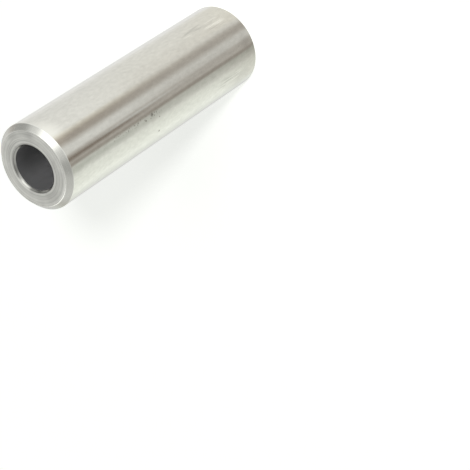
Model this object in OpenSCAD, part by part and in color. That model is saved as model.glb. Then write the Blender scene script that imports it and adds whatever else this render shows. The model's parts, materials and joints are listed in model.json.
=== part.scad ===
// Hollow gudgeon pin, turned, bored and ground from one length of steel.
// The pin stands on its end: Z is its axis, and the middle of the lower end face is the origin.

/* [Pin] */
// Diameter of the ground bearing surface
pin_d = 20; // [17:0.5:30]
// Length over the two end faces
pin_len = 68; // [40:1:110]

/* [Ends] */
// Width of the chamfer round each end, measured along the radius
chamfer_w = 1.2; // [0.6:0.1:2.4]
// Slope of the chamfer, measured from the end face
chamfer_angle = 45; // [25:1:65]
// Radius of the broken edges on both sides of the chamfer
edge_r = 0.25; // [0.1:0.05:0.45]

/* [Bore] */
// Diameter of the bore that runs right through
bore_d = 10.4; // [6:0.1:13]
// Width of the countersink at each mouth of the bore, measured along the radius
mouth_w = 0.45; // [0.2:0.05:1.2]
// Slope of the countersink, measured from the end face
mouth_angle = 45; // [30:1:60]

/* [Hidden] */

steel = [0.76, 0.75, 0.72];
round_steps = 128;
edge_steps = 48;

pin_r = pin_d / 2;
bore_r = bore_d / 2;
mouth_r = bore_r + mouth_w;
mouth_depth = mouth_w * tan(mouth_angle);
face_r = pin_r - chamfer_w;
chamfer_len = chamfer_w * tan(chamfer_angle);
half_len = pin_len / 2;

// Distance from each sharp corner of the chamfer to the ends of its rounding
face_tangent = edge_r * tan(chamfer_angle / 2);
side_tangent = edge_r * tan((90 - chamfer_angle) / 2);
chamfer_way = [cos(chamfer_angle), sin(chamfer_angle)];

// Middles of the two roundings, as radius and distance from the end face
edge_centres = [
    [face_r - face_tangent, edge_r],
    [pin_r - edge_r, chamfer_len + side_tangent],
];

// Lower half of the wall, from the bore out to the ground surface, as radius and height
half_points = [
    [bore_r, half_len],
    [bore_r, mouth_depth],
    [mouth_r, 0],
    [face_r - face_tangent, 0],
    [face_r, 0] + face_tangent * chamfer_way,
    [pin_r, chamfer_len] - side_tangent * chamfer_way,
    [pin_r, chamfer_len + side_tangent],
    [pin_r, half_len],
];

// Half section through the lower half of the wall, with a circle in each rounded edge
module half_section() {
    polygon(half_points);
    for (centre = edge_centres)
        translate(centre)
            circle(r = edge_r, $fn = edge_steps);
}

// Both ends are alike
module wall_section() {
    half_section();
    translate([0, pin_len])
        mirror([0, 1])
            half_section();
}

module gudgeon_pin() {
    color(steel)
        rotate_extrude($fn = round_steps)
            wall_section();
}

gudgeon_pin();
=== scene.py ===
"""Gudgeon pin: a hollow steel pin with a ground outside, turned ends and a plain bore."""

import json
import math
from collections import namedtuple

import bmesh
import bpy
from bpy.props import FloatProperty, FloatVectorProperty, IntProperty, PointerProperty
from mathutils import Matrix, Quaternion, Vector


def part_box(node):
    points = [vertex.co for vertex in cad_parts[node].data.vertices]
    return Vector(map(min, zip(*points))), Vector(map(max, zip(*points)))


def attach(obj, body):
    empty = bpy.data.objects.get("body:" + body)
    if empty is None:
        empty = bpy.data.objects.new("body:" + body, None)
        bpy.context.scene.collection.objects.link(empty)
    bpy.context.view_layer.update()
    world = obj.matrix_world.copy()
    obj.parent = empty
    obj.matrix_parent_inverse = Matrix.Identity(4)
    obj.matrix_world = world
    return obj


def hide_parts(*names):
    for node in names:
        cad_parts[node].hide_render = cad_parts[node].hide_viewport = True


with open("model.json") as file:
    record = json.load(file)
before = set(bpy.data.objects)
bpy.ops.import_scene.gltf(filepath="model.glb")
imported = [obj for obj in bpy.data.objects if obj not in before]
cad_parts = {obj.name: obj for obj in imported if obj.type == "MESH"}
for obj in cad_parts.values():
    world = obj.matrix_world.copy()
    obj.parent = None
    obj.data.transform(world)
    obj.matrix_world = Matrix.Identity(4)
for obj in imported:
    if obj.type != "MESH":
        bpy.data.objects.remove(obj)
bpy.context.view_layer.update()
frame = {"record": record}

bl_info = {
    "name": "Gudgeon pin",
    "version": (1, 0, 0),
    "blender": (4, 5, 0),
    "location": "View3D > Sidebar > Gudgeon pin",
    "description": "Turns a hollow gudgeon pin and sets it on a studio stage",
    "category": "Object",
}

MM = 0.001
MICROMETRE = 0.001 * MM
FULL_TURN = 2 * math.pi

NODE = "gudgeon_pin"
BODY = "root"

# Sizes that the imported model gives
MOUNTS = {mount["name"]: mount for mount in frame["record"]["mounts"]}
LOWEST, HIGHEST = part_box(NODE)
PIN_LENGTH = HIGHEST.z - LOWEST.z
PIN_RADIUS = MOUNTS["bearing_surface"]["dims"]["r_mm"] * MM
BORE_RADIUS = MOUNTS["bore"]["dims"]["r_mm"] * MM

# The picture that the camera is set for
IMAGE_SIZE = 470
SENSOR_WIDTH = 36.0
# Distance of the nearest thing that the camera shows
NEAREST_SHOWN = 0.01


class GudgeonPinSizes(bpy.types.PropertyGroup):
    """Sizes of the pin and of the marks that its tools leave."""

    diameter: FloatProperty(
        name="Diameter",
        description="Diameter of the ground bearing surface",
        default=2 * PIN_RADIUS,
        unit="LENGTH",
    )
    length: FloatProperty(
        name="Length",
        description="Length over the two end faces",
        default=PIN_LENGTH,
        unit="LENGTH",
    )
    chamfer_width: FloatProperty(
        name="Chamfer width",
        description="Width of the chamfer round each end, along the radius",
        default=1.2 * MM,
        unit="LENGTH",
    )
    chamfer_angle: FloatProperty(
        name="Chamfer angle",
        description="Slope of the chamfer, from the end face",
        default=math.radians(45),
        subtype="ANGLE",
    )
    edge_radius: FloatProperty(
        name="Edge radius",
        description="Radius of the broken edges on both sides of the chamfer",
        default=0.25 * MM,
        unit="LENGTH",
    )
    bore_diameter: FloatProperty(
        name="Bore diameter",
        description="Diameter of the bore that runs right through",
        default=2 * BORE_RADIUS,
        unit="LENGTH",
    )
    mouth_width: FloatProperty(
        name="Countersink width",
        description="Width of the countersink at each mouth of the bore, along the radius",
        default=0.45 * MM,
        unit="LENGTH",
    )
    mouth_angle: FloatProperty(
        name="Countersink angle",
        description="Slope of the countersink, from the end face",
        default=math.radians(45),
        subtype="ANGLE",
    )
    lip_radius: FloatProperty(
        name="Lip radius",
        description="Radius of the worn lips of the countersink",
        default=0.06 * MM,
        unit="LENGTH",
    )
    groove_pitch: FloatProperty(
        name="Groove pitch",
        description="Distance between the tool marks on the end faces",
        default=0.26 * MM,
        unit="LENGTH",
    )
    groove_depth: FloatProperty(
        name="Groove depth",
        description="Depth of the tool marks on the end faces",
        default=0.007 * MM,
        unit="LENGTH",
    )
    facets: IntProperty(
        name="Facets",
        description="Number of facets round the pin",
        default=240,
        min=24,
    )


class GudgeonPinFinish(bpy.types.PropertyGroup):
    """Colours and gloss of the pin's surfaces."""

    ground_color: FloatVectorProperty(
        name="Ground steel",
        description="Colour of the ground outside",
        default=(0.655, 0.65, 0.595),
        subtype="COLOR",
    )
    turned_color: FloatVectorProperty(
        name="Turned steel",
        description="Colour of the end faces and chamfers",
        default=(0.62, 0.622, 0.578),
        subtype="COLOR",
    )
    bore_color: FloatVectorProperty(
        name="Bore",
        description="Colour of the unpolished bore",
        default=(0.45, 0.45, 0.455),
        subtype="COLOR",
    )
    ground_roughness: FloatProperty(
        name="Ground roughness",
        description="Roughness of the ground outside",
        default=0.11,
        subtype="FACTOR",
    )
    turned_roughness: FloatProperty(
        name="Turned roughness",
        description="Roughness of the turned end faces",
        default=0.34,
        subtype="FACTOR",
    )
    chamfer_roughness: FloatProperty(
        name="Chamfer roughness",
        description="Roughness of the smoothly turned chamfers",
        default=0.22,
        subtype="FACTOR",
    )
    mouth_roughness: FloatProperty(
        name="Countersink roughness",
        description="Roughness of the countersinks at the mouths of the bore",
        default=0.17,
        subtype="FACTOR",
    )
    bore_roughness: FloatProperty(
        name="Bore roughness",
        description="Roughness of the unpolished bore",
        default=0.62,
        subtype="FACTOR",
    )


class GudgeonPinStage(bpy.types.PropertyGroup):
    """Camera, lamps and backdrop."""

    camera_azimuth: FloatProperty(
        name="Camera azimuth",
        description="Side of the pin that the camera stands on, from the X axis",
        default=math.radians(-45),
        subtype="ANGLE",
    )
    camera_elevation: FloatProperty(
        name="Camera elevation",
        description="Height of the camera over the upper end face, as an angle",
        default=math.radians(38.453),
        subtype="ANGLE",
    )
    camera_distance: FloatProperty(
        name="Camera distance",
        description="Distance of the camera from the middle of the upper end face",
        default=0.36093,
        unit="LENGTH",
    )
    camera_roll: FloatProperty(
        name="Camera roll",
        description="Roll of the camera, which shows the standing pin as if it lay",
        default=math.radians(-123.42),
        subtype="ANGLE",
    )
    lens: FloatProperty(
        name="Lens",
        description="Focal length of the camera in millimetres",
        default=131.86,
        unit="CAMERA",
    )
    face_pixel: FloatVectorProperty(
        name="End face in the picture",
        description="Pixel at which the middle of the upper end face shows, from the top left",
        default=(33.274, 169.085),
        size=2,
    )
    floor_color: FloatVectorProperty(
        name="Floor",
        description="Colour of the floor",
        default=(0.8, 0.8, 0.79),
        subtype="COLOR",
    )
    floor_glow: FloatProperty(
        name="Floor glow",
        description="Light that the camera sees in the floor besides the lamps' light",
        default=0.76,
    )
    glow_color: FloatVectorProperty(
        name="Glow colour",
        description="Colour of that light",
        default=(0.98, 1.0, 0.965),
        subtype="COLOR",
    )
    ambient: FloatProperty(
        name="Ambient light",
        description="Strength of the light from all round",
        default=0.06,
    )
    key_strength: FloatProperty(
        name="Key light",
        description="Strength of the soft key light",
        default=0.97,
    )
    fill_strength: FloatProperty(
        name="Fill light",
        description="Strength of the softer fill light",
        default=0.28,
    )


class Socket:
    """An output socket of a node tree, on which arithmetic adds Math nodes."""

    def __init__(self, tree, socket=None):
        self.tree = tree
        self.socket = socket

    def node(self, kind, settings=None, inputs=None, output=0):
        """Adds a node, sets it up, fills its input sockets and gives one of its outputs."""
        node = self.tree.nodes.new(kind)
        for name, value in (settings or {}).items():
            if name == "stops":
                set_stops(node.color_ramp, value)
            elif name == "choices":
                while len(node.index_switch_items) < value:
                    node.index_switch_items.new()
            else:
                setattr(node, name, value)
        for name, value in (inputs or {}).items():
            if isinstance(value, Socket):
                self.tree.links.new(value.socket, node.inputs[name])
            else:
                node.inputs[name].default_value = value
        return None if output is None else Socket(self.tree, node.outputs[output])

    def math(self, operation, first, second=0.0):
        """Adds a Math node."""
        return self.node("ShaderNodeMath", {"operation": operation}, {0: first, 1: second})

    def __add__(self, other):
        return self.math("ADD", self, other)

    def __radd__(self, other):
        return self.math("ADD", other, self)

    def __sub__(self, other):
        return self.math("SUBTRACT", self, other)

    def __rsub__(self, other):
        return self.math("SUBTRACT", other, self)

    def __mul__(self, other):
        return self.math("MULTIPLY", self, other)

    def __rmul__(self, other):
        return self.math("MULTIPLY", other, self)

    def __truediv__(self, other):
        return self.math("DIVIDE", self, other)

    def __rtruediv__(self, other):
        return self.math("DIVIDE", other, self)

    def __mod__(self, other):
        return self.math("MODULO", self, other)

    def __rmod__(self, other):
        return self.math("MODULO", other, self)

    def __lt__(self, other):
        return self.math("LESS_THAN", self, other)

    def __gt__(self, other):
        return self.math("GREATER_THAN", self, other)


def set_stops(ramp, stops):
    """Gives a colour ramp its (position, colour) stops."""
    while len(ramp.elements) < len(stops):
        ramp.elements.new(1.0)
    for element, (position, color) in zip(ramp.elements, stops):
        element.position = position
        element.color = color


def mix_colors(factor, first, second, blend="MIX"):
    """Mixes two colours by a socket."""
    return factor.node(
        "ShaderNodeMix",
        {"data_type": "RGBA", "blend_type": blend},
        {0: factor, 6: first, 7: second},
        output=2,
    )


def direction(side, elevation=0.0):
    """Unit vector from angles in radians."""
    flat = math.cos(elevation)
    return Vector((flat * math.cos(side), flat * math.sin(side), math.sin(elevation)))


def apart(value, middle):
    """How far a value is from the middle of something, to either side."""
    return value.math("ABSOLUTE", value - middle)


def opaque(color):
    """Colour with full alpha."""
    return (*color, 1.0)


def grey(level):
    """Opaque grey."""
    return (level, level, level, 1.0)


def shade(color, level):
    """Colour at a share of its brightness."""
    return opaque(level * channel for channel in color)


# Section of the pin and its turning


def size_inputs(sizes):
    """Named inputs of the turning tree, with their values."""
    return {
        "Pin radius": sizes.diameter / 2,
        "Length": sizes.length,
        "Chamfer width": sizes.chamfer_width,
        "Chamfer angle": sizes.chamfer_angle,
        "Edge radius": sizes.edge_radius,
        "Bore radius": sizes.bore_diameter / 2,
        "Mouth width": sizes.mouth_width,
        "Mouth angle": sizes.mouth_angle,
        "Lip radius": sizes.lip_radius,
        "Groove pitch": sizes.groove_pitch,
        "Groove depth": sizes.groove_depth,
        "Facets": float(sizes.facets),
    }


# Points in each rounded corner of the section, and points for each tool mark
ARC_POINTS = 7
STEPS_PER_GROOVE = 6
# Longest step along the axis
AXIAL_STEP = 4 * MM
# How fast the depth changes from one tool mark to the next
UNEVENNESS = 0.7
# Distance within which two points are one
CLOSE = 1e-7
# Distance from a sharp corner to the start of its rounding, as a share of the radius
BEND_SHARE = 0.42
# Depth to which a face still counts as part of the side or of the bore
ZONE_SLACK = 0.004 * MM


def turning_tree(input_names, finishes):
    """Node tree that turns the pin's wall section round the Z axis."""
    tree = bpy.data.node_groups.new("turned_pin", "GeometryNodeTree")
    for name in input_names:
        tree.interface.new_socket(name=name, in_out="INPUT", socket_type="NodeSocketFloat")
    tree.interface.new_socket(name="Geometry", in_out="OUTPUT", socket_type="NodeSocketGeometry")
    start = Socket(tree)
    size = {name: start.node("NodeGroupInput", output=name) for name in input_names}

    section = wall_section(start, size)
    section = cut_grooves(section, size)
    skin = revolve(section, size["Facets"])
    skin = skin.node("GeometryNodeRealizeInstances", None, {"Geometry": skin})
    skin = set_finishes(skin, size, finishes)
    skin.node("NodeGroupOutput", None, {"Geometry": skin}, output=None)
    return tree


def wall_section(start, size):
    """Closed curve round the wall, as X for the radius and Z for the height, with broken edges."""
    length = size["Length"]
    pin_r = size["Pin radius"]
    bore_r = size["Bore radius"]
    mouth_r = bore_r + size["Mouth width"]
    mouth_depth = size["Mouth width"] * start.math("TANGENT", size["Mouth angle"])
    face_r = pin_r - size["Chamfer width"]
    chamfer_length = size["Chamfer width"] * start.math("TANGENT", size["Chamfer angle"])
    lower_corners = [
        (bore_r, mouth_depth),
        (mouth_r, 0.0),
        (face_r, 0.0),
        (pin_r, chamfer_length),
    ]
    upper_corners = [(radius, length - height) for radius, height in reversed(lower_corners)]
    corners = [
        start.node("ShaderNodeCombineXYZ", None, {"X": radius, "Z": height})
        for radius, height in lower_corners + upper_corners
    ]
    count = len(corners)
    index = start.node("GeometryNodeInputIndex")
    corner = start.node(
        "GeometryNodeIndexSwitch",
        {"data_type": "VECTOR", "choices": count},
        {"Index": index, **{place + 1: spot for place, spot in enumerate(corners)}},
    )
    line = start.node("GeometryNodeMeshLine", None, {"Count": count})
    line = start.node("GeometryNodeMeshToCurve", None, {"Mesh": line})
    line = start.node("GeometryNodeSetSplineCyclic", None, {"Geometry": line, "Cyclic": True})
    line = start.node("GeometryNodeSetPosition", None, {"Geometry": line, "Position": corner})

    # The four middle corners are the edges of the chamfers
    middle = (count - 1) / 2
    is_edge = apart(index, middle) < middle / 2
    radius = size["Lip radius"] + is_edge * (size["Edge radius"] - size["Lip radius"])
    line = start.node(
        "GeometryNodeFilletCurve",
        {"mode": "POLY"},
        {"Curve": line, "Count": ARC_POINTS, "Radius": radius, "Limit Radius": True},
    )
    return finer(line, size["Groove pitch"] / STEPS_PER_GROOVE)


def finer(line, radial_step):
    """Adds points to the straight runs of the section, close together where grooves go."""
    points = line.node(
        "GeometryNodeAttributeDomainSize",
        {"component": "CURVE"},
        {"Geometry": line},
        output="Point Count",
    )
    position = line.node("GeometryNodeInputPosition")
    index = line.node("GeometryNodeInputIndex")
    following = line.node(
        "GeometryNodeFieldAtIndex",
        {"data_type": "FLOAT_VECTOR", "domain": "POINT"},
        {"Index": (index + 1) % points, "Value": position},
    )
    run = line.node("ShaderNodeVectorMath", {"operation": "SUBTRACT"}, {0: following, 1: position})
    run = line.node("ShaderNodeVectorMath", {"operation": "ABSOLUTE"}, {0: run})
    radial = line.node("ShaderNodeSeparateXYZ", None, {"Vector": run}, output="X")
    axial = line.node("ShaderNodeSeparateXYZ", None, {"Vector": run}, output="Z")
    cuts = line.math("FLOOR", radial / radial_step + axial / AXIAL_STEP)
    return line.node("GeometryNodeSubdivideCurve", None, {"Curve": line, "Cuts": cuts})


def cut_grooves(section, size):
    """Cuts the uneven rings that the tool leaves in the flat end faces."""
    position = section.node("GeometryNodeInputPosition")
    radius = section.node("ShaderNodeSeparateXYZ", None, {"Vector": position}, output="X")
    height = section.node("ShaderNodeSeparateXYZ", None, {"Vector": position}, output="Z")
    at_lower = height < CLOSE
    at_upper = height > size["Length"] - CLOSE
    inner = radius > size["Bore radius"] + size["Mouth width"] + size["Lip radius"]
    outer = radius < size["Pin radius"] - size["Chamfer width"] - size["Edge radius"] / 2
    wave = section.math("COSINE", radius / size["Groove pitch"] * FULL_TURN)
    unevenness = section.node(
        "ShaderNodeTexNoise",
        {"noise_dimensions": "1D"},
        {"W": radius / size["Groove pitch"] * UNEVENNESS, "Scale": 1.0, "Detail": 2.0},
    )
    depth = size["Groove depth"] * (1 - wave) * unevenness * inner * outer
    offset = section.node("ShaderNodeCombineXYZ", None, {"Z": depth * (at_lower - at_upper)})
    return section.node("GeometryNodeSetPosition", None, {"Geometry": section, "Offset": offset})


def revolve(section, facets):
    """Turns a closed section in the XZ plane round Z into a closed skin."""
    points = section.node(
        "GeometryNodeAttributeDomainSize",
        {"component": "CURVE"},
        {"Geometry": section},
        output="Point Count",
    )
    rows = points + 1
    skin = section.node(
        "GeometryNodeMeshGrid",
        None,
        {"Vertices X": facets + 1, "Vertices Y": rows},
    )
    index = section.node("GeometryNodeInputIndex")
    row = (index % rows) % points
    step = section.math("FLOOR", (index + 0.5) / rows) % facets
    angle = step / facets * FULL_TURN
    position = section.node("GeometryNodeInputPosition")
    spot = section.node(
        "GeometryNodeSampleIndex",
        {"data_type": "FLOAT_VECTOR", "domain": "POINT"},
        {"Geometry": section, "Value": position, "Index": row},
    )
    spot = section.node(
        "ShaderNodeVectorRotate",
        {"rotation_type": "Z_AXIS"},
        {"Vector": spot, "Angle": angle},
    )
    skin = section.node("GeometryNodeSetPosition", None, {"Geometry": skin, "Position": spot})
    skin = section.node("GeometryNodeMergeByDistance", None, {"Geometry": skin, "Distance": CLOSE})
    return section.node("GeometryNodeSetShadeSmooth", None, {"Geometry": skin})


def set_finishes(skin, size, finishes):
    """Gives each face the finish of the tool that cut it."""
    position = skin.node("GeometryNodeInputPosition")
    flat = skin.node("ShaderNodeVectorMath", {"operation": "MULTIPLY"}, {0: position, 1: (1, 1, 0)})
    radius = skin.node("ShaderNodeVectorMath", {"operation": "LENGTH"}, {0: flat}, output="Value")
    skin = skin.node(
        "GeometryNodeSetMaterial", None, {"Geometry": skin, "Material": finishes["turned_end"]}
    )
    face_r = size["Pin radius"] - size["Chamfer width"] - size["Edge radius"] * BEND_SHARE
    mouth_r = size["Bore radius"] + size["Mouth width"] + size["Lip radius"] * BEND_SHARE
    zones = {
        "chamfer": radius > face_r,
        "ground_side": radius > size["Pin radius"] - ZONE_SLACK,
        "mouth": radius < mouth_r,
        "bore": radius < size["Bore radius"] + ZONE_SLACK,
    }
    for finish, zone in zones.items():
        skin = skin.node(
            "GeometryNodeSetMaterial",
            None,
            {"Geometry": skin, "Selection": zone, "Material": finishes[finish]},
        )
    return skin


# Steel finishes

# A place on an object, and the radii and the length of the pin
Place = namedtuple("Place", "spot radius angle height")
Plan = namedtuple("Plan", "bore mouth face side length")


def pin_plan(sizes):
    """Radii of the bore, its mouth, the end faces and the ground side, and the length."""
    bore_r = sizes.bore_diameter / 2
    side_r = sizes.diameter / 2
    return Plan(
        bore=bore_r,
        mouth=bore_r + sizes.mouth_width,
        face=side_r - sizes.chamfer_width,
        side=side_r,
        length=sizes.length,
    )


def new_material(name):
    """Empty node material, with the start of its node tree."""
    material = bpy.data.materials.new(name)
    material.use_nodes = True
    material.node_tree.nodes.clear()
    return material, Socket(material.node_tree)


def finish_material(shader):
    """Links a shader to the output of its material."""
    shader.node("ShaderNodeOutputMaterial", None, {"Surface": shader}, output=None)


def object_place(start):
    """Object coordinates, as a vector and as a radius, an angle and a height."""
    spot = start.node("ShaderNodeTexCoord", output="Object")
    x = start.node("ShaderNodeSeparateXYZ", None, {"Vector": spot}, output="X")
    y = start.node("ShaderNodeSeparateXYZ", None, {"Vector": spot}, output="Y")
    height = start.node("ShaderNodeSeparateXYZ", None, {"Vector": spot}, output="Z")
    flat = start.node("ShaderNodeVectorMath", {"operation": "MULTIPLY"}, {0: spot, 1: (1, 1, 0)})
    radius = start.node("ShaderNodeVectorMath", {"operation": "LENGTH"}, {0: flat}, output="Value")
    return Place(spot, radius, start.math("ARCTAN2", y, x), height)


def noise(vector, scale, detail=2.0):
    """Noise from 0 to 1. The scale is in cells a metre along each axis."""
    vector = vector.node("ShaderNodeMapping", None, {"Vector": vector, "Scale": scale})
    return vector.node("ShaderNodeTexNoise", None, {"Vector": vector, "Scale": 1.0, "Detail": detail})


def rings(line, scale):
    """Noise from 0 to 1 along one line, such as the radius, which makes rings."""
    return line.node(
        "ShaderNodeTexNoise",
        {"noise_dimensions": "1D"},
        {"W": line, "Scale": scale, "Detail": 3.0},
    )


def sway(pattern, amount):
    """Pattern from 0 to 1 as a sway to both sides of zero."""
    return (pattern - 0.5) * amount


def soft_step(value, low, high):
    """0 below low and 1 above high, or the other way round where low is the higher one."""
    return value.node(
        "ShaderNodeMapRange",
        {"interpolation_type": "SMOOTHSTEP"},
        {"Value": value, "From Min": low, "From Max": high},
    )


def highest(masks):
    """The highest of some masks at each place."""
    top, *others = masks
    for mask in others:
        top = top.math("MAXIMUM", top, mask)
    return top


def towards(vector, way):
    """How far a vector reaches along a way."""
    return vector.node(
        "ShaderNodeVectorMath", {"operation": "DOT_PRODUCT"}, {0: vector, 1: way}, output="Value"
    )


def within(cosine, core, whole):
    """1 inside the core angle and 0 outside the whole one, both in degrees, from an angle's cosine."""
    return soft_step(cosine, math.cos(math.radians(whole)), math.cos(math.radians(core)))


def sector(place, middle, core, whole):
    """Mask of a sector of the pin, from its middle and two half angles in degrees."""
    return within(towards(place.spot, direction(math.radians(middle))) / place.radius, core, whole)


def toned(tone, color, low, high):
    """Colour that goes from a low to a high share of its brightness as the tone goes from 0 to 1."""
    tone = tone.node("ShaderNodeClamp", None, {"Value": tone})
    return mix_colors(tone, shade(color, low), shade(color, high))


def steel(color, roughness, relief, bare=1.0):
    """Steel with a relief in micrometres, of which the share that isn't bare has a thin dull skin."""
    normal = relief.node("ShaderNodeBump", None, {"Height": relief, "Distance": MICROMETRE})
    return color.node(
        "ShaderNodeBsdfPrincipled",
        None,
        {"Base Color": color, "Roughness": roughness, "Metallic": bare, "Normal": normal},
    )


# Marks of the ground side: height, angle round the pin, radius, strength (millimetres and degrees)
RUST_AND_DIRT = (
    (39.8, -69.5, 0.65, 0.75),
    (42.0, -72.5, 0.32, 0.85),
    (37.8, -98.0, 0.38, 0.85),
    (37.6, -77.5, 0.22, 0.85),
    (6.2, -57.5, 0.18, 0.85),
    (3.6, -57.0, 2.6, 0.22),
    (7.0, -100.0, 4.6, 0.17),
    (21.5, 32.0, 0.26, 0.85),
    (48.3, 118.0, 0.32, 0.85),
    (14.7, -160.0, 0.22, 0.85),
)
# Painted highlight on the ground side beside the upper end, in the same columns
SIDE_HIGHLIGHT_SPOTS = ((67.5, -18.0, 6.0, 1.0),)
RUST_COLOR = (0.20, 0.185, 0.165)
# Share of a mark's radius over which it has its full strength
MARK_CORE = 0.1
# How far the outline of a mark strays
RAGGED = 0.3 * MM

# Patches of the ground side: height, half length, angle, half width (millimetres and degrees)
SCRATCHED = (
    (8.0, 4.5, -13, 10),
    (14.0, 5.0, -6, 8),
    (11.0, 6.0, -93, 9),
    (55.0, 7.0, 140, 12),
    (20.0, 6.0, 70, 9),
)
SPATTERED = (
    (46.0, 13.0, -69, 6),
    (40.5, 5.0, -70, 8),
)
# Shares of a patch's half length and half width over which it has its full strength
CORE_LENGTH = 0.4
CORE_WIDTH = 0.3


def mark_mask(place, side_r, marks):
    """How far each place of the ground side is marked, from 0 to 1."""
    ragged = sway(noise(place.spot, scale=(2500, 2500, 2500)), RAGGED)
    masks = []
    for height, angle, radius, strength in marks:
        middle = direction(math.radians(angle)) * side_r + Vector((0, 0, height * MM))
        away = ragged.node(
            "ShaderNodeVectorMath",
            {"operation": "DISTANCE"},
            {0: place.spot, 1: middle},
            output="Value",
        )
        masks.append(soft_step(away + ragged, radius * MM, MARK_CORE * radius * MM) * strength)
    return highest(masks)


def patch_mask(place, patches):
    """1 in the patches and 0 elsewhere."""
    masks = []
    for middle, half_length, side, half_width in patches:
        along = apart(place.height, middle * MM) / (half_length * MM)
        across = apart(place.angle, math.radians(side)) / math.radians(half_width)
        masks.append(soft_step(along, 1.0, CORE_LENGTH) * soft_step(across, 1.0, CORE_WIDTH))
    return highest(masks)


def ground_side(finish, plan):
    """Fine round-and-round grinding marks, with faint stains, scratches, rust and a highlight painted
    beside the upper end.
    """
    material, start = new_material("ground_side")
    place = object_place(start)
    grinding = noise(place.spot, scale=(60, 60, 8000), detail=3.0)
    lobes = noise(place.spot, scale=(420, 420, 16))
    streaks = noise(place.spot, scale=(1500, 1500, 60))
    stains = noise(place.spot, scale=(300, 300, 120), detail=3.0)
    grain = noise(place.spot, scale=(1300, 1300, 700), detail=4.0)
    scratches = noise(place.spot, scale=(1500, 1500, 100), detail=1.0)
    scratched = patch_mask(place, SCRATCHED)
    bright = scratched * soft_step(scratches, 0.52, 0.64)
    dull = scratched * soft_step(scratches, 0.44, 0.34)
    specks = noise(place.spot, scale=(2600, 2600, 2600)) + patch_mask(place, SPATTERED) * 0.2
    specks = soft_step(specks, 0.77, 0.87) * 0.55
    rust = highest([mark_mask(place, plan.side, RUST_AND_DIRT), specks])
    # Painted highlight where the side meets the chamfer's highlight
    side_highlight = mark_mask(place, plan.side, SIDE_HIGHLIGHT_SPOTS)

    tone = 0.5 + sway(grain, 1.5) + sway(stains, 0.6)
    color = toned(tone, finish.ground_color, low=0.91, high=1.09)
    color = mix_colors(side_highlight, color, shade(finish.ground_color, 1.26))
    color = mix_colors(bright, color, shade(finish.ground_color, 1.22))
    color = mix_colors(dull, color, shade(finish.ground_color, 0.80))
    color = mix_colors(rust, color, opaque(RUST_COLOR))
    roughness = finish.ground_roughness + sway(grinding, 0.05) + bright * 0.2 + rust * 0.3
    relief = lobes * 12.0 + streaks * 2.4 + grain * 0.5 + grinding * 0.2 - rust * 4.0
    finish_material(steel(color, roughness, relief))
    return material


# Tone of the end faces: distance from the mouth of the bore in millimetres, tone
FACE_TONES = (
    (0.05, 0.00),
    (0.25, 0.15),
    (0.50, 0.78),
    (0.85, 0.34),
    (1.30, 0.66),
    (1.60, 0.40),
    (2.00, 0.86),
    (2.35, 0.50),
    (2.65, 0.78),
    (3.05, 0.62),
)
# Angle round the pin, in degrees, towards which the end faces are painted darker, as painted shade
FACE_SHADE_SIDE = -120
# Shares of the pin's radius, towards that side, at which the painted shade begins and is full
FACE_SHADE_REACH = (0.35, 0.75)
# Angle, in degrees, towards which the rings of the end faces are off centre, and how far
RING_SIDE = 65
RING_SHIFT = 0.12 * MM
# How far the rings wander
RING_WANDER = 0.12 * MM
# Sectors of the ends: middle, half angles of the core and of the whole, in degrees
STAIN = (27, 8, 36)
# Painted highlight on the end face next to the chamfer
EDGE_HIGHLIGHT = (-104, 8, 30)
# Painted highlight at the lip of the bore, on the face and on the countersink
LIP_HIGHLIGHT = (150, 4, 22)
DULL_LIP = (172, 18, 36)
# Brightness of the painted highlights at the face's edge, at the lip and on the countersink, as a
# share of the turned steel's
HIGHLIGHT_LEVEL = 1.5


def ring_tone(distance, tones):
    """Tone that follows (distance in millimetres, tone) pairs."""
    first = tones[0][0]
    span = tones[-1][0] - first
    stops = [((spot - first) / span, grey(tone)) for spot, tone in tones]
    share = (distance / MM - first) / span
    return distance.node("ShaderNodeValToRGB", {"stops": stops}, {"Fac": share})


def turned_end(finish, plan):
    """Uneven rings of the facing tool and a stain, with painted shade on one side and painted
    highlights near the outer edge and at the lip.
    """
    material, start = new_material("turned_end")
    place = object_place(start)
    off_centre = towards(place.spot, direction(math.radians(RING_SIDE))) / place.radius * RING_SHIFT
    wander = sway(noise(place.spot, scale=(500, 500, 500)), RING_WANDER)
    ring = place.radius - off_centre + wander
    fine = rings(place.radius, scale=8000)
    coarse = rings(ring, scale=2600)
    stains = noise(place.spot, scale=(260, 260, 260), detail=3.0)
    # Painted shade: the face, short of its outer edge, is darker towards one side
    face_shade_reach = towards(place.spot, direction(math.radians(FACE_SHADE_SIDE))) / plan.side
    face_shade = soft_step(place.radius, plan.face - 0.35 * MM, plan.face - 0.65 * MM)
    face_shade = face_shade * soft_step(face_shade_reach, *FACE_SHADE_REACH)
    stained = soft_step(place.radius, plan.face - 1.5 * MM, plan.face - 1.2 * MM)
    stained = stained * sector(place, *STAIN)
    # Painted highlight on the face at the lip of the bore, on one side
    lip_highlight = soft_step(place.radius, plan.mouth + 1.15 * MM, plan.mouth - 0.05 * MM)
    lip_highlight = lip_highlight * sector(place, *LIP_HIGHLIGHT)
    # Painted highlight on the face next to the chamfer, on one side
    edge_highlight = soft_step(place.radius, plan.face - 0.6 * MM, plan.face - 0.4 * MM)
    edge_highlight = edge_highlight * sector(place, *EDGE_HIGHLIGHT)

    tone = ring_tone(ring - plan.mouth, FACE_TONES)
    tone = tone + sway(fine, 0.7) + sway(coarse, 1.6) + sway(stains, 1.1)
    tone = tone - face_shade * 0.5 - stained * 0.45
    color = toned(tone, finish.turned_color, low=0.65, high=1.10)
    color = mix_colors(lip_highlight * 0.65, color, shade(finish.turned_color, HIGHLIGHT_LEVEL))
    color = mix_colors(edge_highlight * 0.3, color, shade(finish.turned_color, HIGHLIGHT_LEVEL))
    roughness = finish.turned_roughness + sway(fine, 0.16) + sway(stains, 0.1)
    finish_material(steel(color, roughness, relief=(fine + coarse) * 1.2))
    return material


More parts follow.
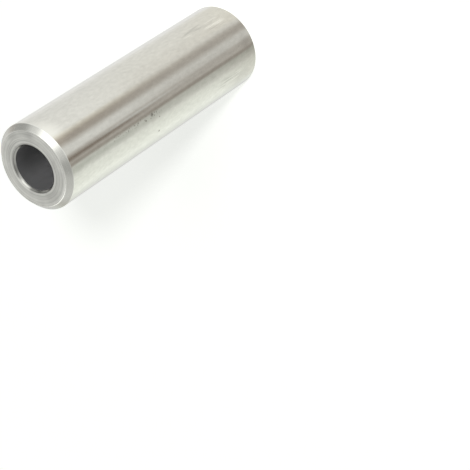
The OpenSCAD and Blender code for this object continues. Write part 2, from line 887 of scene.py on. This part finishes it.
def chamfer(finish, plan):
    """Smoothly turned cone with glossier worn edges, on which a highlight is painted."""
    material, start = new_material("chamfer")
    place = object_place(start)
    fine = rings(place.radius, scale=9000)
    stains = noise(place.spot, scale=(300, 300, 300), detail=3.0)
    inner_edge = soft_step(place.radius, plan.face + 0.20 * MM, plan.face + 0.05 * MM)
    outer_edge = soft_step(place.radius, plan.side - 0.14 * MM, plan.side - 0.05 * MM)
    # Worn edges: glossier, and their lighter colour is a painted highlight
    highlight = inner_edge * 0.6 + outer_edge

    color = toned((fine + stains) * 0.5, finish.turned_color, low=0.74, high=1.2)
    color = mix_colors(highlight, color, shade(finish.turned_color, 1.2))
    roughness = finish.chamfer_roughness + sway(fine, 0.1) - highlight * 0.06
    finish_material(steel(color, roughness, relief=(fine + stains) * 0.8))
    return material


def mouth(finish, plan):
    """Dull countersink, with a highlight painted on one side."""
    material, start = new_material("mouth")
    place = object_place(start)
    fine = rings(place.radius, scale=9000)
    stains = noise(place.spot, scale=(700, 700, 700), detail=3.0)
    inner = soft_step(place.radius, plan.bore + 0.30 * MM, plan.bore + 0.06 * MM)
    outer = soft_step(place.radius, plan.bore + 0.16 * MM, plan.bore + 0.36 * MM)
    dull = sector(place, *DULL_LIP) * (0.3 + inner * 0.4)
    # Painted highlight on the outer part of the countersink, on one side
    highlight = sector(place, *LIP_HIGHLIGHT) * (0.3 - inner * 0.3)

    tone = 0.75 - outer * 0.6 + sway(stains, 0.5)
    color = toned(tone, finish.turned_color, low=0.42, high=0.74)
    color = mix_colors(dull, color, grey(0.0))
    color = mix_colors(highlight, color, shade(finish.turned_color, HIGHLIGHT_LEVEL))
    roughness = finish.mouth_roughness + sway(fine, 0.08)
    finish_material(steel(color, roughness, relief=fine + stains))
    return material


# Angle round the bore, in degrees, towards which its colour is painted darker as painted shade, and
# the depth where that is full
BORE_SHADE_SIDE = 70
BORE_SHADE_DEPTH = 5 * MM
# Depth over which the bore's colour is painted lighter: painted light further in from each mouth
BORE_LIGHT_DEPTH = 8 * MM
# Share of the bore's steel that is bare
BORE_BARE = 0.88


def bore(finish, plan):
    """Dark unpolished bore, painted lighter further in and with painted shade on one side."""
    material, start = new_material("bore")
    place = object_place(start)
    drawn = noise(place.spot, scale=(900, 900, 160), detail=3.0)
    fine = rings(place.height, scale=4000)
    depth = start.math("MINIMUM", place.height, plan.length - place.height)
    # Painted shade on one side of the bore, fuller further in
    bore_shade_reach = towards(place.spot, direction(math.radians(BORE_SHADE_SIDE))) / plan.bore
    bore_shade = soft_step(bore_shade_reach, 0.0, 1.0) * (0.17 + soft_step(depth, 0.0, BORE_SHADE_DEPTH) * 0.33)

    # Painted light: the colour is lighter further in from each mouth
    color = toned(soft_step(depth, 0.0, BORE_LIGHT_DEPTH), finish.bore_color, low=0.95, high=1.7)
    color = mix_colors(bore_shade, color, grey(0.0))
    color = mix_colors(drawn * 0.35, color, grey(0.4), "MULTIPLY")
    roughness = finish.bore_roughness + sway(drawn, 0.15)
    finish_material(steel(color, roughness, relief=drawn * 6.0 + fine * 1.8, bare=BORE_BARE))
    return material


FINISHES = (ground_side, turned_end, chamfer, mouth, bore)


class GUDGEON_PIN_OT_turn(bpy.types.Operator):
    """Turn the hollow pin and give its surfaces their finishes"""

    bl_idname = "gudgeon_pin.turn"
    bl_label = "Turn pin"

    def execute(self, context):
        sizes = context.scene.gudgeon_pin_sizes
        finish = context.scene.gudgeon_pin_finish
        plan = pin_plan(sizes)
        finishes = {make.__name__: make(finish, plan) for make in FINISHES}
        values = size_inputs(sizes)
        tree = turning_tree(list(values), finishes)

        pin = bpy.data.objects.new("steel_pin", bpy.data.meshes.new("blank"))
        context.scene.collection.objects.link(pin)
        modifier = pin.modifiers.new("turning", "NODES")
        modifier.node_group = tree
        for item in tree.interface.items_tree:
            if item.in_out == "INPUT":
                modifier[item.identifier] = values[item.name]
        evaluated = pin.evaluated_get(context.evaluated_depsgraph_get())
        mesh = bpy.data.meshes.new_from_object(evaluated)
        if not mesh.polygons:
            raise RuntimeError("the turned pin has no faces")
        pin.modifiers.remove(modifier)
        pin.data = mesh
        mesh.name = "steel_pin"

        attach(pin, BODY)
        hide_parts(NODE)
        return {"FINISHED"}


# Studio

FLOOR_SIZE = 8.0
# Lamps: angle from the camera's side, elevation and spread, in degrees
KEY_LIGHT = (12, 41.5, 7)
FILL_LIGHT = (31, 55, 19)

TENT_RADIUS = 0.6
TENT_SUBDIVISIONS = 5
# Pale walls of the light tent: angle from the camera's side in degrees, level
WALLS = (
    (-180, 0.80),
    (-164, 0.72),
    (-118, 1.23),
    (-85, 1.10),
    (-5, 0.90),
    (45, 1.08),
    (118, 0.965),
    (142, 1.02),
    (180, 0.80),
)
# Tints of the dark room, its ceiling, the paper, the paper's shade and warm light
ROOM = (0.14, 0.06, 0.0)
CEILING = (0.06, 0.06, 0.05)
PAPER = (0.97, 1.0, 0.965)
SHADE = (0.04, 0.10, 0.0)
WARM = (0.98, 0.93, 0.82)
# Upright strips: middle, half widths of core and whole in degrees, strengths from the top down, tint
STRIPS = (
    (18, 2, 22, (0.0, 0.58, 0.58, 0.42, 0.42), ROOM),
    (-31.5, 11, 19, (0.0, 0.39, 0.39, 0.33, 0.33), ROOM),
    (-12, 0, 10, (0.0, 0.0, 0.05, 0.12, 0.0), ROOM),
    (-28, 0, 10, (0.0, 0.67, 0.67, 0.04, 0.04), ROOM),
    (-41.5, 1, 8, (0.0, 0.33, 0.33, 0.37, 0.31), ROOM),
    (-50, 0, 8, (0.0, 0.0, 0.0, 0.08, 0.22), SHADE),
    (-56.5, 0, 21, (0.0, 0.36, 0.36, 0.27, 0.24), SHADE),
    (-3, 30, 96, (0.0, 0.0, 0.0, 0.16, 0.16), ROOM),
    (-88, 30, 55, (0.0, 0.0, 0.0, 0.0, 0.23), ROOM),
    (-110, 30, 50, (0.0, 1.0, 1.0, 1.0, 1.0), PAPER),
    (30, 3, 11, (0.0, 0.5, 0.5, 0.15, 0.0), WARM),
    (85, 35, 55, (0.0, 0.0, 0.0, 0.15, 0.40), WARM),
    (132, 3, 18, (0.0, 0.46, 0.0, 0.0, 0.0), ROOM),
    (-130, 4, 20, (0.0, 0.41, 0.0, 0.0, 0.0), ROOM),
    (160, 8, 24, (0.0, 0.13, 0.0, 0.0, 0.0), ROOM),
    (-105, 20, 60, (0.34, 0.0, 0.0, 0.0, 0.0), CEILING),
    (-45, 8, 35, (0.50, 0.0, 0.0, 0.0, 0.0), CEILING),
    (122, 14, 34, (0.50, 0.0, 0.0, 0.0, 0.0), CEILING),
)
# Heights of the tent over which each part gives way to the next lower one
PART_HEIGHTS = (
    (0.20, 0.06),
    (-0.25, -0.32),
    (-0.362, -0.390),
    (-0.408, -0.432),
)
# Softboxes and a gleam: angle from the camera's side, elevation, half angles of core and whole, level
SOFTBOXES = (
    (43, 46, 14, 25, 2.0),
    (-150, 42, 7, 17, 2.0),
    (-23.2, -38.7, 0, 3.0, 0.74),
)


def tent_material():
    """Light tent: pale all round, with the soft dark gaps of a room and a few softboxes."""
    material, start = new_material("light_tent")
    place = object_place(start)
    stops = [(0.5 + side / 360, grey(level)) for side, level in WALLS]
    turn = place.angle / FULL_TURN + 0.5
    color = start.node("ShaderNodeValToRGB", {"stops": stops}, {"Fac": turn})

    parts = [soft_step(place.height, above, below) for above, below in PART_HEIGHTS]
    for middle, core, whole, strengths, tint in STRIPS:
        away = apart(place.angle, math.radians(middle))
        strength = strengths[0]
        for part, above, below in zip(parts, strengths, strengths[1:]):
            if above != below:
                strength = part * (below - above) + strength
        strip = soft_step(away, math.radians(whole), math.radians(core)) * strength
        color = mix_colors(strip, color, opaque(tint), "MULTIPLY")

    way = start.node("ShaderNodeVectorMath", {"operation": "NORMALIZE"}, {0: place.spot})
    for side, elevation, core, whole, level in SOFTBOXES:
        nearness = towards(way, direction(math.radians(side), math.radians(elevation)))
        color = mix_colors(within(nearness, core, whole), color, grey(level))
    finish_material(start.node("ShaderNodeEmission", None, {"Color": color}))
    material.cycles.emission_sampling = "NONE"
    return material


def shown(start):
    """1 for the rays that show the background: those of the camera, of gloss and of glass."""
    kinds = ("Camera", "Glossy", "Transmission")
    return highest(start.node("ShaderNodeLightPath", output=f"Is {kind} Ray") for kind in kinds)


def floor_material(stage):
    """White paper: the camera sees it white, and the pin's shadow on it."""
    material, start = new_material("floor_paper")
    glow = start.node(
        "ShaderNodeEmission",
        None,
        {"Color": opaque(stage.glow_color), "Strength": stage.floor_glow},
    )
    paper = start.node("ShaderNodeBsdfDiffuse", None, {"Color": opaque(stage.floor_color)})
    lit = start.node("ShaderNodeAddShader", None, {0: glow, 1: paper})
    finish_material(start.node("ShaderNodeMixShader", None, {"Fac": shown(start), 1: paper, 2: lit}))
    return material


def studio_world(stage):
    """White to the camera and plain soft light to the stage."""
    world = bpy.data.worlds.new("studio")
    world.use_nodes = True
    world.node_tree.nodes.clear()
    start = Socket(world.node_tree)
    white = start.node("ShaderNodeBackground", None, {"Color": grey(1.0), "Strength": 1.0})
    light = start.node("ShaderNodeBackground", None, {"Color": grey(1.0), "Strength": stage.ambient})
    sky = start.node("ShaderNodeMixShader", None, {"Fac": shown(start), 1: light, 2: white})
    sky.node("ShaderNodeOutputWorld", None, {"Surface": sky}, output=None)
    return world


def stage_object(name, maker, material, **sizes):
    """Adds a stage mesh made by one of bmesh's makers."""
    mesh = bpy.data.meshes.new(name)
    shape = bmesh.new()
    maker(shape, **sizes)
    shape.to_mesh(mesh)
    shape.free()
    mesh.materials.append(material)
    thing = bpy.data.objects.new(name, mesh)
    bpy.context.scene.collection.objects.link(thing)
    return thing


def hang_lamp(name, azimuth, place, strength):
    """Soft lamp that lights the floor, but doesn't show in the steel."""
    side, elevation, spread = (math.radians(angle) for angle in place)
    light = bpy.data.lights.new(name, "SUN")
    light.energy = strength
    light.angle = spread
    lamp = bpy.data.objects.new(name, light)
    lamp.rotation_mode = "QUATERNION"
    lamp.rotation_quaternion = direction(azimuth + side, elevation).to_track_quat("Z", "Y")
    lamp.visible_glossy = False
    bpy.context.scene.collection.objects.link(lamp)


def place_camera(stage, target):
    """Camera that shows the target at its pixel."""
    away = direction(stage.camera_azimuth, stage.camera_elevation)
    focal_pixels = stage.lens / SENSOR_WIDTH * IMAGE_SIZE
    across = (stage.face_pixel[0] - IMAGE_SIZE / 2) / focal_pixels
    down = (stage.face_pixel[1] - IMAGE_SIZE / 2) / focal_pixels
    ahead = Vector((0, 0, -1))
    off_middle = ahead.rotation_difference(Vector((across, -down, -1)))
    roll = Quaternion((0, 0, 1), stage.camera_roll)
    turn = away.to_track_quat("Z", "Y") @ roll @ off_middle.inverted()

    lens = bpy.data.cameras.new("camera")
    lens.sensor_width = SENSOR_WIDTH
    lens.lens = stage.lens
    lens.clip_start = NEAREST_SHOWN
    camera = bpy.data.objects.new("camera", lens)
    camera.matrix_world = Matrix.LocRotScale(target + away * stage.camera_distance, turn, None)
    bpy.context.scene.collection.objects.link(camera)
    bpy.context.scene.camera = camera


class GUDGEON_PIN_OT_set_stage(bpy.types.Operator):
    """Lay the floor and set up the light tent, the lamps and the camera"""

    bl_idname = "gudgeon_pin.set_stage"
    bl_label = "Set stage"

    def execute(self, context):
        scene = context.scene
        stage = scene.gudgeon_pin_stage
        scene.view_settings.view_transform = "Standard"

        floor = stage_object(
            "floor", bmesh.ops.create_grid, floor_material(stage), size=FLOOR_SIZE / 2
        )
        floor.visible_glossy = False

        tent = stage_object(
            "light_tent",
            bmesh.ops.create_icosphere,
            tent_material(),
            subdivisions=TENT_SUBDIVISIONS,
            radius=TENT_RADIUS,
        )
        tent.rotation_euler.z = stage.camera_azimuth
        tent.visible_camera = False
        tent.visible_diffuse = False
        tent.visible_shadow = False
        tent.visible_transmission = False

        hang_lamp("key_light", stage.camera_azimuth, KEY_LIGHT, stage.key_strength)
        hang_lamp("fill_light", stage.camera_azimuth, FILL_LIGHT, stage.fill_strength)
        scene.world = studio_world(stage)
        place_camera(stage, Vector((0, 0, scene.gudgeon_pin_sizes.length)))
        return {"FINISHED"}


class GUDGEON_PIN_PT_panel(bpy.types.Panel):
    """Sizes and finishes of the gudgeon pin"""

    bl_idname = "GUDGEON_PIN_PT_panel"
    bl_label = "Gudgeon pin"
    bl_space_type = "VIEW_3D"
    bl_region_type = "UI"
    bl_category = "Gudgeon pin"

    def draw(self, context):
        scene = context.scene
        steps = [
            (scene.gudgeon_pin_sizes, None),
            (scene.gudgeon_pin_finish, GUDGEON_PIN_OT_turn),
            (scene.gudgeon_pin_stage, GUDGEON_PIN_OT_set_stage),
        ]
        for settings, operator in steps:
            for name in settings.__annotations__:
                self.layout.prop(settings, name)
            if operator:
                self.layout.operator(operator.bl_idname)


SETTINGS = {
    "gudgeon_pin_sizes": GudgeonPinSizes,
    "gudgeon_pin_finish": GudgeonPinFinish,
    "gudgeon_pin_stage": GudgeonPinStage,
}
CLASSES = [*SETTINGS.values(), GUDGEON_PIN_OT_turn, GUDGEON_PIN_OT_set_stage, GUDGEON_PIN_PT_panel]


def register():
    for cls in CLASSES:
        bpy.utils.register_class(cls)
    for name, settings in SETTINGS.items():
        setattr(bpy.types.Scene, name, PointerProperty(type=settings))


def unregister():
    for name in SETTINGS:
        delattr(bpy.types.Scene, name)
    for cls in reversed(CLASSES):
        bpy.utils.unregister_class(cls)


def main():
    register()
    bpy.ops.gudgeon_pin.turn()
    bpy.ops.gudgeon_pin.set_stage()


if __name__ == "__main__":
    main()
